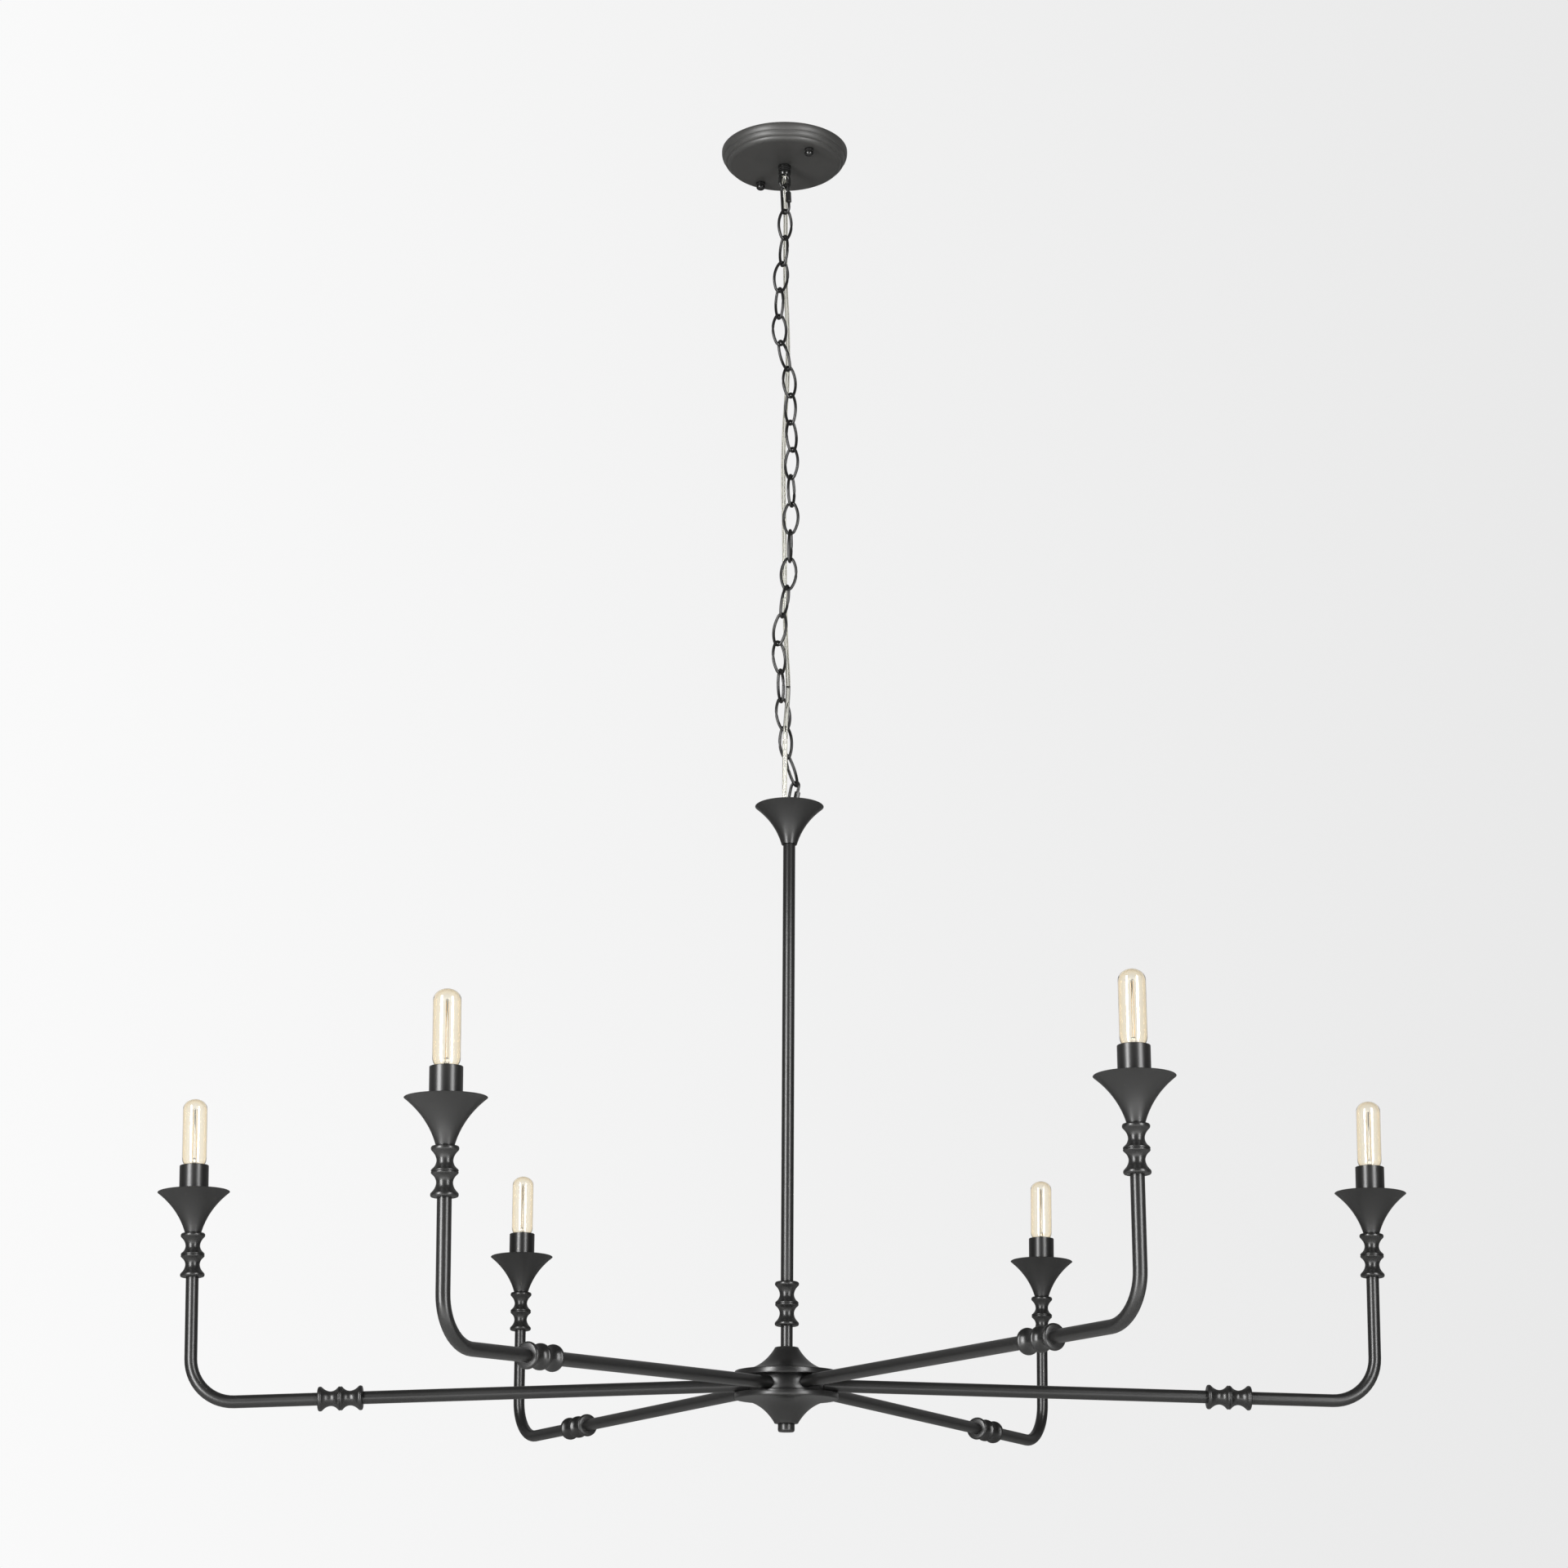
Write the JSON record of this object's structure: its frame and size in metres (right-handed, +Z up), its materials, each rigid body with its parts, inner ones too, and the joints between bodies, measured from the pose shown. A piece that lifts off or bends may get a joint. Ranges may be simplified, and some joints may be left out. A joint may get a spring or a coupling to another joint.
{
  "type": "multi arm chandelier",
  "caption": "Hanging candle-style chandelier: ceiling canopy, oval-link chain with quick links, stem with turned knuckle, flared hub, elbowed arms with trumpet cups and tubular bulbs.",
  "frame": {"origin": "on the ceiling, at the middle of the crossbar's cord hole and of the canopy", "axes": "+Z up against the ceiling, -Y towards the viewer of the picture, +X to the viewer's right"},
  "size_m": [1.5959, 1.3999, 1.7793],
  "materials": {
    "black": "satin black powder coat",
    "gloss": "gloss black",
    "zinc": "zinc plated",
    "glass": "clear amber-tinted",
    "cord": "clear PVC over tinned conductors"
  },
  "bodies": {
    "ceiling_fixture": {"crossbar": "zinc", "canopy": "black", "canopy_nut_back_left": "gloss", "canopy_nut_front_right": "gloss", "canopy_collar": "gloss", "canopy_eye": "gloss", "supply_cord": "cord"},
    "quick_link_top": {"quick_link_top": "black"},
    "chain_link_01": {"chain_link_01": "black"},
    "chain_link_02": {"chain_link_02": "black"},
    "chain_link_03": {"chain_link_03": "black"},
    "chain_link_04": {"chain_link_04": "black"},
    "chain_link_05": {"chain_link_05": "black"},
    "chain_link_06": {"chain_link_06": "black"},
    "chain_link_07": {"chain_link_07": "black"},
    "chain_link_08": {"chain_link_08": "black"},
    "chain_link_09": {"chain_link_09": "black"},
    "chain_link_10": {"chain_link_10": "black"},
    "chain_link_11": {"chain_link_11": "black"},
    "chain_link_12": {"chain_link_12": "black"},
    "chain_link_13": {"chain_link_13": "black"},
    "chain_link_14": {"chain_link_14": "black"},
    "chain_link_15": {"chain_link_15": "black"},
    "chain_link_16": {"chain_link_16": "black"},
    "chain_link_17": {"chain_link_17": "black"},
    "chain_link_18": {"chain_link_18": "black"},
    "chain_link_19": {"chain_link_19": "black"},
    "chain_link_20": {"chain_link_20": "black"},
    "chain_link_21": {"chain_link_21": "black"},
    "quick_link_bottom": {"quick_link_bottom": "black"},
    "lamp": {"stem_eye": "black", "stem_cup": "black", "stem_tube": "black", "stem_knuckle": "black", "stem_lower_tube": "black", "hub_upper_cap": "black", "hub_core": "black", "hub_lower_cap": "black", "finial": "black", "arm_left": "black", "arm_front_left": "black", "arm_front_right": "black", "arm_right": "black", "arm_back_right": "black", "arm_back_left": "black", "candle_cup_left": "black", "candle_cup_front_left": "black", "candle_cup_front_right": "black", "candle_cup_right": "black", "candle_cup_back_right": "black", "candle_cup_back_left": "black"},
    "quick_link_top_nut": {"quick_link_top_nut": "black"},
    "quick_link_bottom_nut": {"quick_link_bottom_nut": "black"},
    "bulb_left": {"bulb_left": "glass"},
    "bulb_front_left": {"bulb_front_left": "glass"},
    "bulb_front_right": {"bulb_front_right": "glass"},
    "bulb_right": {"bulb_right": "glass"},
    "bulb_back_right": {"bulb_back_right": "glass"},
    "bulb_back_left": {"bulb_back_left": "glass"}
  },
  "joints": [
    {"name": "quick_link_top_swing", "type": "hinge", "parent": "ceiling_fixture", "child": "quick_link_top", "pos_m": [0, 0, -0.0559], "axis": [0.7659, 0.642, 0.035], "range_deg": [-30, 30], "deforming": ["supply_cord"]},
    {"name": "chain_link_01_swing", "type": "hinge", "parent": "quick_link_top", "child": "chain_link_01", "pos_m": [0.002, 0.00001, -0.09536], "axis": [-0.5149, 0.8568, 0.028], "range_deg": [-30, 30]},
    {"name": "chain_link_02_swing", "type": "hinge", "parent": "chain_link_01", "child": "chain_link_02", "pos_m": [-0.0005, 0.00013, -0.13562], "axis": [-0.8567, -0.5148, 0.032], "range_deg": [-30, 30]},
    {"name": "chain_link_03_swing", "type": "hinge", "parent": "chain_link_02", "child": "chain_link_03", "pos_m": [-0.002, 0.00023, -0.17589], "axis": [0.4532, -0.8893, -0.061], "range_deg": [-30, 30]},
    {"name": "chain_link_04_swing", "type": "hinge", "parent": "chain_link_03", "child": "chain_link_04", "pos_m": [-0.00799, 0.00015, -0.21579], "axis": [0.866, 0.5, 0.01], "range_deg": [-30, 30]},
    {"name": "chain_link_05_swing", "type": "hinge", "parent": "chain_link_04", "child": "chain_link_05", "pos_m": [-0.007, 0.00043, -0.25615], "axis": [-0.438, 0.899, 0], "range_deg": [-30, 30]},
    {"name": "chain_link_06_swing", "type": "hinge", "parent": "chain_link_05", "child": "chain_link_06", "pos_m": [-0.00701, 0.00045, -0.29646], "axis": [-0.8662, -0.4231, -0.266], "range_deg": [-30, 30]},
    {"name": "chain_link_07_swing", "type": "hinge", "parent": "chain_link_06", "child": "chain_link_07", "pos_m": [0.0062, 0.00045, -0.33438], "axis": [0.559, -0.829, 0.018], "range_deg": [-30, 30]},
    {"name": "chain_link_08_swing", "type": "hinge", "parent": "chain_link_07", "child": "chain_link_08", "pos_m": [0.00729, 0.00093, -0.37471], "axis": [0.7309, 0.6819, 0.029], "range_deg": [-30, 30]},
    {"name": "chain_link_09_swing", "type": "hinge", "parent": "chain_link_08", "child": "chain_link_09", "pos_m": [0.00899, 0.00086, -0.41501], "axis": [-0.743, 0.669, -0.018], "range_deg": [-30, 30]},
    {"name": "chain_link_10_swing", "type": "hinge", "parent": "chain_link_09", "child": "chain_link_10", "pos_m": [0.00999, 0.00094, -0.4553], "axis": [-0.559, -0.8291, 0.012], "range_deg": [-30, 30]},
    {"name": "chain_link_11_swing", "type": "hinge", "parent": "chain_link_10", "child": "chain_link_11", "pos_m": [0.00899, 0.00088, -0.49561], "axis": [0.9135, -0.4068, -0.002], "range_deg": [-30, 30]},
    {"name": "chain_link_12_swing", "type": "hinge", "parent": "chain_link_11", "child": "chain_link_12", "pos_m": [0.00899, 0.00085, -0.53595], "axis": [0.2921, 0.9564, -0.007], "range_deg": [-30, 30]},
    {"name": "chain_link_13_swing", "type": "hinge", "parent": "chain_link_12", "child": "chain_link_13", "pos_m": [0.008, 0.00084, -0.57622], "axis": [-0.9842, 0.174, 0.031], "range_deg": [-30, 30]},
    {"name": "chain_link_14_swing", "type": "hinge", "parent": "chain_link_13", "child": "chain_link_14", "pos_m": [0.00669, 0.00084, -0.61651], "axis": [-0.07, -0.9975, 0.004], "range_deg": [-30, 30]},
    {"name": "chain_link_15_swing", "type": "hinge", "parent": "chain_link_14", "child": "chain_link_15", "pos_m": [0.004, 0.00086, -0.65677], "axis": [0.9136, -0.3689, -0.1709], "range_deg": [-30, 30]},
    {"name": "chain_link_16_swing", "type": "hinge", "parent": "chain_link_15", "child": "chain_link_16", "pos_m": [-0.004, 0.00075, -0.69632], "axis": [0.5862, 0.8073, -0.068], "range_deg": [-30, 30]},
    {"name": "chain_link_17_swing", "type": "hinge", "parent": "chain_link_16", "child": "chain_link_17", "pos_m": [-0.00899, 0.00101, -0.73633], "axis": [-0.6153, 0.7874, -0.037], "range_deg": [-30, 30]},
    {"name": "chain_link_18_swing", "type": "hinge", "parent": "chain_link_17", "child": "chain_link_18", "pos_m": [-0.006, 0.00067, -0.77657], "axis": [-0.9386, -0.3419, -0.046], "range_deg": [-30, 30]},
    {"name": "chain_link_19_swing", "type": "hinge", "parent": "chain_link_18", "child": "chain_link_19", "pos_m": [-0.00401, 0.00056, -0.81686], "axis": [0.4691, -0.8822, 0.042], "range_deg": [-30, 30]},
    {"name": "chain_link_20_swing", "type": "hinge", "parent": "chain_link_19", "child": "chain_link_20", "pos_m": [-0.00001, 0.00065, -0.85699], "axis": [0.642, 0.765, 0.051], "range_deg": [-30, 30]},
    {"name": "chain_link_21_swing", "type": "hinge", "parent": "chain_link_20", "child": "chain_link_21", "pos_m": [0.0033, 0.0003, -0.89668], "axis": [-0.8557, 0.4548, -0.2469], "range_deg": [-30, 30]},
    {"name": "quick_link_bottom_swing", "type": "hinge", "parent": "chain_link_21", "child": "quick_link_bottom", "pos_m": [0.01549, 0.00046, -0.93465], "axis": [-0.6633, -0.7363, 0.1341], "range_deg": [-30, 30]},
    {"name": "lamp_swing", "type": "hinge", "parent": "quick_link_bottom", "child": "lamp", "pos_m": [0.00631, -0.00005, -0.97261], "axis": [0.6428, -0.766, -0.0032], "range_deg": [-12, 12]},
    {"name": "quick_link_top_nut_slide", "type": "slide", "parent": "quick_link_top", "child": "quick_link_top_nut", "axis": [-0.0454, -0.0003, 0.999], "range_m": [0, 0.007]},
    {"name": "quick_link_bottom_nut_slide", "type": "slide", "parent": "quick_link_bottom", "child": "quick_link_bottom_nut", "axis": [0.1982, 0, 0.9802], "range_m": [0, 0.007]},
    {"name": "bulb_left_lift", "type": "slide", "parent": "lamp", "child": "bulb_left", "axis": [-0.035, -0.0012, 0.9994], "range_m": [0, 0.025]},
    {"name": "bulb_front_left_lift", "type": "slide", "parent": "lamp", "child": "bulb_front_left", "axis": [-0.0123, -0.0321, 0.9994], "range_m": [0, 0.025]},
    {"name": "bulb_front_right_lift", "type": "slide", "parent": "lamp", "child": "bulb_front_right", "axis": [0.0033, 0.0043, 1], "range_m": [0, 0.025]},
    {"name": "bulb_right_lift", "type": "slide", "parent": "lamp", "child": "bulb_right", "axis": [0.026, 0.0009, 0.9997], "range_m": [0, 0.025]},
    {"name": "bulb_back_right_lift", "type": "slide", "parent": "lamp", "child": "bulb_back_right", "axis": [0.0178, 0.0209, 0.9996], "range_m": [0, 0.025]},
    {"name": "bulb_back_left_lift", "type": "slide", "parent": "lamp", "child": "bulb_back_left", "axis": [-0.0062, 0.0197, 0.9998], "range_m": [0, 0.025]}
  ]
}
